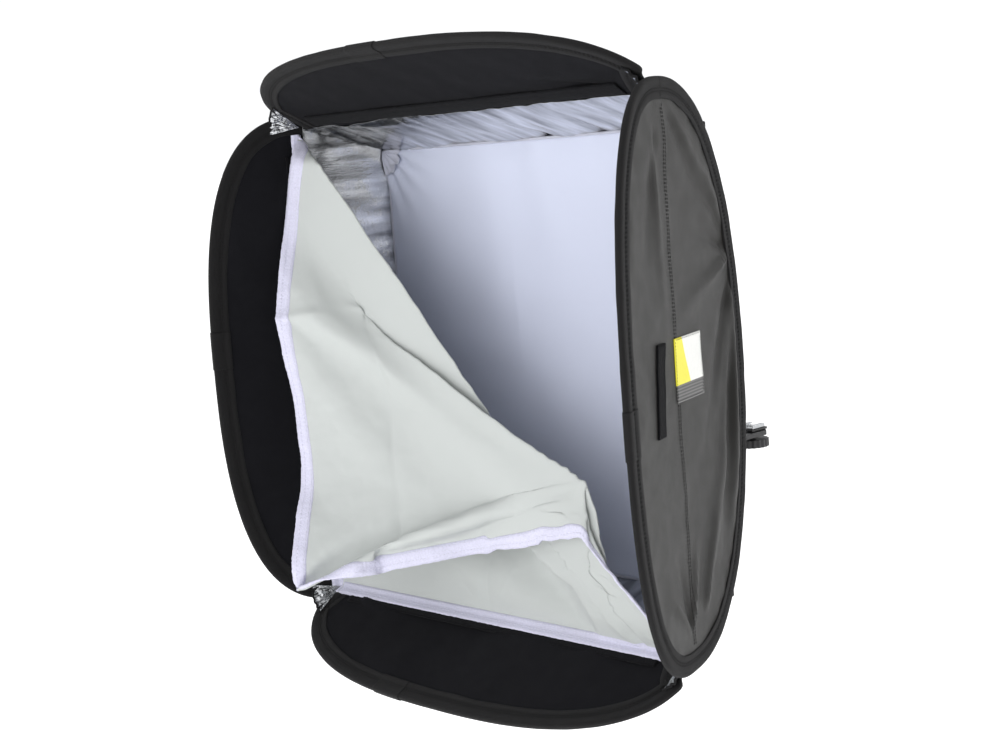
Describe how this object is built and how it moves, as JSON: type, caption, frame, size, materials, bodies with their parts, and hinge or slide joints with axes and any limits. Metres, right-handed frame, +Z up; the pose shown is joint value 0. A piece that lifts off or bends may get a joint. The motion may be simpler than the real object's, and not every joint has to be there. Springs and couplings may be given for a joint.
{
  "type": "studio softbox",
  "caption": "Square collapsible hot-shoe softbox with oval hoop panels, recessed front diffuser folded half open, inner diffuser, rear speed ring, bracket and tilt head.",
  "frame": {"origin": "centre of the stand socket's mouth, where the light stand holds the part", "axes": "+Z up the stand, -Y the way the softbox faces, +X the viewer's right from the front"},
  "size_m": [0.6334, 0.5887, 0.6846],
  "materials": {
    "outer_nylon": "satin woven nylon",
    "lip_cloth": "matte black cloth",
    "binding_tape": "ribbed edge tape",
    "loop_tape": "hook-and-loop pile",
    "silver_cloth": "metallised reflective cloth",
    "diffuser_cloth": "matte translucent nylon",
    "inner_diffuser_cloth": "matte translucent nylon",
    "hook_tape": "white hook tape",
    "label_patch": "woven patch",
    "spring_steel": "blued spring steel",
    "black_metal": "satin black powder coat",
    "black_plastic": "fine-textured glass-filled nylon",
    "shoe_metal": "brushed"
  },
  "bodies": {
    "receiver": {"stand_receiver": "black_plastic", "tilt_bolt": "shoe_metal"},
    "bracket": {"tilt_head_upper": "black_plastic", "slide_arm": "black_metal", "bracket_upright": "black_metal", "speed_ring": "black_metal"},
    "softbox": {"right_hoop": "spring_steel", "right_hoop_ferrule": "spring_steel", "right_binding": "binding_tape", "right_outer_cloth": "outer_nylon", "right_lip_lining": "lip_cloth", "right_silver_lining": "silver_cloth", "right_loop_strip": "loop_tape", "right_rear_cover": "outer_nylon", "left_hoop": "spring_steel", "left_hoop_ferrule": "spring_steel", "left_binding": "binding_tape", "left_outer_cloth": "outer_nylon", "left_lip_lining": "lip_cloth", "left_silver_lining": "silver_cloth", "left_loop_strip": "loop_tape", "left_rear_cover": "outer_nylon", "top_hoop": "spring_steel", "top_hoop_ferrule": "spring_steel", "top_binding": "binding_tape", "top_outer_cloth": "outer_nylon", "top_lip_lining": "lip_cloth", "top_silver_lining": "silver_cloth", "top_loop_strip": "loop_tape", "top_rear_cover": "outer_nylon", "bottom_hoop": "spring_steel", "bottom_hoop_ferrule": "spring_steel", "bottom_binding": "binding_tape", "bottom_outer_cloth": "outer_nylon", "bottom_lip_lining": "lip_cloth", "bottom_silver_lining": "silver_cloth", "bottom_loop_strip": "loop_tape", "bottom_rear_cover": "outer_nylon", "top_right_gusset": "silver_cloth", "top_left_gusset": "silver_cloth", "bottom_left_gusset": "silver_cloth", "bottom_right_gusset": "silver_cloth", "inner_diffuser": "inner_diffuser_cloth", "front_diffuser": "diffuser_cloth", "diffuser_hem_bottom": "hook_tape", "diffuser_hem_left": "hook_tape", "diffuser_hem_right": "hook_tape", "label": "label_patch", "outer_hook_strip": "loop_tape", "rear_collar": "binding_tape"},
    "flap": {"diffuser_flap": "diffuser_cloth", "flap_hem_top": "hook_tape", "flap_hem_right": "hook_tape"},
    "shoe": {"shoe_carriage": "black_plastic", "cold_shoe": "shoe_metal"},
    "carriage_knob": {"carriage_knob": "black_plastic"},
    "tilt_lever": {"tilt_lever": "black_plastic"},
    "receiver_screw": {"receiver_screw": "black_plastic"},
    "ring_screw_left": {"ring_screw_left": "black_plastic"},
    "ring_screw_right": {"ring_screw_right": "black_plastic"}
  },
  "joints": [
    {"name": "head_tilt", "type": "hinge", "parent": "receiver", "child": "bracket", "pos_m": [0, 0, 0.085], "axis": [1, 0, 0], "range_deg": [-75, 60]},
    {"name": "softbox_release", "type": "slide", "parent": "bracket", "child": "softbox", "axis": [0, -1, 0], "range_m": [0, 0.06]},
    {"name": "diffuser_peel", "type": "hinge", "parent": "softbox", "child": "flap", "pos_m": [0, -0.341, 0.319], "axis": [-0.7615, 0, 0.6482], "range_deg": [0, 162]},
    {"name": "shoe_slide", "type": "slide", "parent": "bracket", "child": "shoe", "axis": [0, 1, 0], "range_m": [-0.06, 0.005]},
    {"name": "carriage_knob_turn", "type": "hinge", "parent": "shoe", "child": "carriage_knob", "pos_m": [0, 0.116, 0.124], "axis": [0, 0, 1], "range_deg": [0, 360]},
    {"name": "tilt_lever_swing", "type": "hinge", "parent": "receiver", "child": "tilt_lever", "pos_m": [0.02, 0, 0.085], "axis": [1, 0, 0], "range_deg": [-70, 10]},
    {"name": "receiver_screw_turn", "type": "hinge", "parent": "receiver", "child": "receiver_screw", "pos_m": [0, 0.027, 0.02], "axis": [0, 1, 0], "range_deg": [0, 360]},
    {"name": "ring_screw_left_turn", "type": "hinge", "parent": "bracket", "child": "ring_screw_left", "pos_m": [-0.02, -0.03, 0.2015], "axis": [0, 1, 0], "range_deg": [0, 360]},
    {"name": "ring_screw_right_turn", "type": "hinge", "parent": "bracket", "child": "ring_screw_right", "pos_m": [0.02, -0.03, 0.2015], "axis": [0, 1, 0], "range_deg": [0, 360]}
  ]
}
